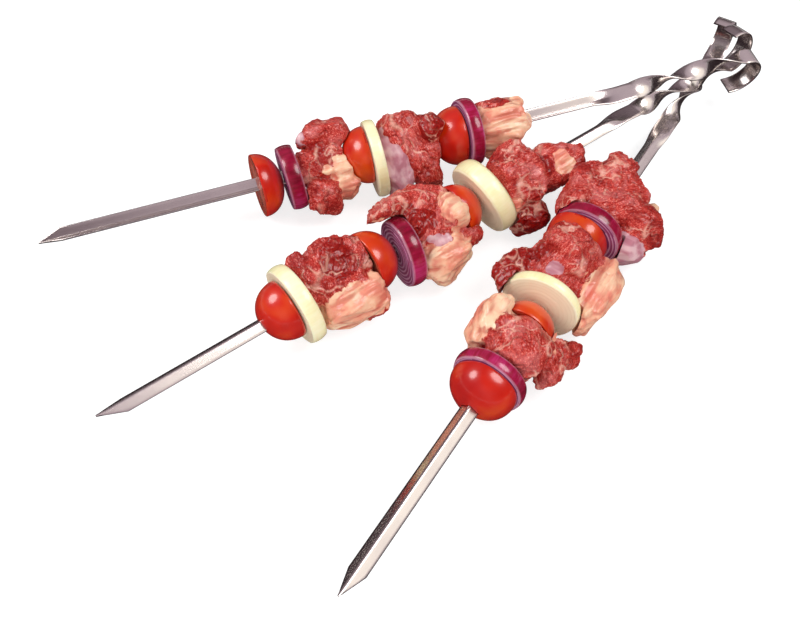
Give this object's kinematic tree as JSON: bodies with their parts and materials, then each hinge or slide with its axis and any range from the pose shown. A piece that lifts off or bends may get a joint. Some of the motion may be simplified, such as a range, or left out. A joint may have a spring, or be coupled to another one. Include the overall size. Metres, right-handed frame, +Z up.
{
  "type": "kebab skewer set",
  "caption": "Folded steel kebab skewers with twisted, hooked handles, fanned out and loaded with meat, tomato and onion slices that slide on the V blades.",
  "frame": {"origin": "on the table top, at the middle of the set seen from above", "axes": "+Z up from the table; +Y along the middle skewer, from its point to its hook; +X to the right of it"},
  "size_m": [0.2968, 0.4972, 0.0565],
  "materials": {
    "stainless_steel": "satin rolled strip",
    "tomato": "glossy wet skin",
    "red_onion": "glossy purple skin over pale rings",
    "white_onion": "smooth, moist",
    "raw_meat": "moist, with cream fat and silverskin"
  },
  "bodies": {
    "right_skewer": {"right_skewer": "stainless_steel"},
    "right_tomato_1": {"right_tomato_1": "tomato"},
    "right_red_onion_1": {"right_red_onion_1": "red_onion"},
    "right_meat_1": {"right_meat_1": "raw_meat"},
    "right_tomato_2": {"right_tomato_2": "tomato"},
    "right_white_onion_1": {"right_white_onion_1": "white_onion"},
    "right_meat_2": {"right_meat_2": "raw_meat"},
    "right_tomato_3": {"right_tomato_3": "tomato"},
    "right_red_onion_2": {"right_red_onion_2": "red_onion"},
    "right_meat_3": {"right_meat_3": "raw_meat"},
    "middle_skewer": {"middle_skewer": "stainless_steel"},
    "middle_tomato_1": {"middle_tomato_1": "tomato"},
    "middle_white_onion_1": {"middle_white_onion_1": "white_onion"},
    "middle_meat_1": {"middle_meat_1": "raw_meat"},
    "middle_tomato_2": {"middle_tomato_2": "tomato"},
    "middle_red_onion_1": {"middle_red_onion_1": "red_onion"},
    "middle_meat_2": {"middle_meat_2": "raw_meat"},
    "middle_tomato_3": {"middle_tomato_3": "tomato"},
    "middle_white_onion_2": {"middle_white_onion_2": "white_onion"},
    "middle_meat_3": {"middle_meat_3": "raw_meat"},
    "left_skewer": {"left_skewer": "stainless_steel"},
    "left_tomato_1": {"left_tomato_1": "tomato"},
    "left_red_onion_1": {"left_red_onion_1": "red_onion"},
    "left_meat_1": {"left_meat_1": "raw_meat"},
    "left_tomato_2": {"left_tomato_2": "tomato"},
    "left_white_onion_1": {"left_white_onion_1": "white_onion"},
    "left_meat_2": {"left_meat_2": "raw_meat"},
    "left_tomato_3": {"left_tomato_3": "tomato"},
    "left_red_onion_2": {"left_red_onion_2": "red_onion"},
    "left_meat_3": {"left_meat_3": "raw_meat"}
  },
  "joints": [
    {"name": "middle_skewer_lift", "type": "slide", "parent": "right_skewer", "child": "middle_skewer", "axis": [0, 0, 1], "range_m": [0, 0.06]},
    {"name": "left_skewer_lift", "type": "slide", "parent": "middle_skewer", "child": "left_skewer", "axis": [0.313, -0.565, 0.7634], "range_m": [0, 0.06]},
    {"name": "right_meat_3_slide", "type": "slide", "parent": "right_skewer", "child": "right_meat_3", "axis": [0.3518, -0.9358, 0.0226], "range_m": [0, 0.0114]},
    {"name": "right_red_onion_2_slide", "type": "slide", "parent": "right_meat_3", "child": "right_red_onion_2", "axis": [0.3518, -0.9358, 0.0226], "range_m": [0, 0.0114]},
    {"name": "right_tomato_3_slide", "type": "slide", "parent": "right_red_onion_2", "child": "right_tomato_3", "axis": [0.3518, -0.9358, 0.0226], "range_m": [0, 0.0114]},
    {"name": "right_meat_2_slide", "type": "slide", "parent": "right_tomato_3", "child": "right_meat_2", "axis": [0.3518, -0.9358, 0.0226], "range_m": [0, 0.0114]},
    {"name": "right_white_onion_1_slide", "type": "slide", "parent": "right_meat_2", "child": "right_white_onion_1", "axis": [0.3518, -0.9358, 0.0226], "range_m": [0, 0.0114]},
    {"name": "right_tomato_2_slide", "type": "slide", "parent": "right_white_onion_1", "child": "right_tomato_2", "axis": [0.3518, -0.9358, 0.0226], "range_m": [0, 0.0114]},
    {"name": "right_meat_1_slide", "type": "slide", "parent": "right_tomato_2", "child": "right_meat_1", "axis": [0.3518, -0.9358, 0.0226], "range_m": [0, 0.0114]},
    {"name": "right_red_onion_1_slide", "type": "slide", "parent": "right_meat_1", "child": "right_red_onion_1", "axis": [0.3518, -0.9358, 0.0226], "range_m": [0, 0.0114]},
    {"name": "right_tomato_1_slide", "type": "slide", "parent": "right_red_onion_1", "child": "right_tomato_1", "axis": [0.3518, -0.9358, 0.0226], "range_m": [0, 0.0114]},
    {"name": "middle_meat_3_slide", "type": "slide", "parent": "middle_skewer", "child": "middle_meat_3", "axis": [0, -1, -0.0061], "range_m": [0, 0.0092]},
    {"name": "middle_white_onion_2_slide", "type": "slide", "parent": "middle_meat_3", "child": "middle_white_onion_2", "axis": [0, -1, -0.0061], "range_m": [0, 0.0092]},
    {"name": "middle_tomato_3_slide", "type": "slide", "parent": "middle_white_onion_2", "child": "middle_tomato_3", "axis": [0, -1, -0.0061], "range_m": [0, 0.0092]},
    {"name": "middle_meat_2_slide", "type": "slide", "parent": "middle_tomato_3", "child": "middle_meat_2", "axis": [0, -1, -0.0061], "range_m": [0, 0.0092]},
    {"name": "middle_red_onion_1_slide", "type": "slide", "parent": "middle_meat_2", "child": "middle_red_onion_1", "axis": [0, -1, -0.0061], "range_m": [0, 0.0092]},
    {"name": "middle_tomato_2_slide", "type": "slide", "parent": "middle_red_onion_1", "child": "middle_tomato_2", "axis": [0, -1, -0.0061], "range_m": [0, 0.0092]},
    {"name": "middle_meat_1_slide", "type": "slide", "parent": "middle_tomato_2", "child": "middle_meat_1", "axis": [0, -1, -0.0061], "range_m": [0, 0.0092]},
    {"name": "middle_white_onion_1_slide", "type": "slide", "parent": "middle_meat_1", "child": "middle_white_onion_1", "axis": [0, -1, -0.0061], "range_m": [0, 0.0092]},
    {"name": "middle_tomato_1_slide", "type": "slide", "parent": "middle_white_onion_1", "child": "middle_tomato_1", "axis": [0, -1, -0.0061], "range_m": [0, 0.0092]},
    {"name": "left_meat_3_slide", "type": "slide", "parent": "left_skewer", "child": "left_meat_3", "axis": [-0.3607, -0.9299, -0.0723], "range_m": [0, 0.0135]},
    {"name": "left_red_onion_2_slide", "type": "slide", "parent": "left_meat_3", "child": "left_red_onion_2", "axis": [-0.3607, -0.9299, -0.0723], "range_m": [0, 0.0135]},
    {"name": "left_tomato_3_slide", "type": "slide", "parent": "left_red_onion_2", "child": "left_tomato_3", "axis": [-0.3607, -0.9299, -0.0723], "range_m": [0, 0.0135]},
    {"name": "left_meat_2_slide", "type": "slide", "parent": "left_tomato_3", "child": "left_meat_2", "axis": [-0.3607, -0.9299, -0.0723], "range_m": [0, 0.0135]},
    {"name": "left_white_onion_1_slide", "type": "slide", "parent": "left_meat_2", "child": "left_white_onion_1", "axis": [-0.3607, -0.9299, -0.0723], "range_m": [0, 0.0135]},
    {"name": "left_tomato_2_slide", "type": "slide", "parent": "left_white_onion_1", "child": "left_tomato_2", "axis": [-0.3607, -0.9299, -0.0723], "range_m": [0, 0.0135]},
    {"name": "left_meat_1_slide", "type": "slide", "parent": "left_tomato_2", "child": "left_meat_1", "axis": [-0.3607, -0.9299, -0.0723], "range_m": [0, 0.0135]},
    {"name": "left_red_onion_1_slide", "type": "slide", "parent": "left_meat_1", "child": "left_red_onion_1", "axis": [-0.3607, -0.9299, -0.0723], "range_m": [0, 0.0135]},
    {"name": "left_tomato_1_slide", "type": "slide", "parent": "left_red_onion_1", "child": "left_tomato_1", "axis": [-0.3607, -0.9299, -0.0723], "range_m": [0, 0.0135]}
  ]
}
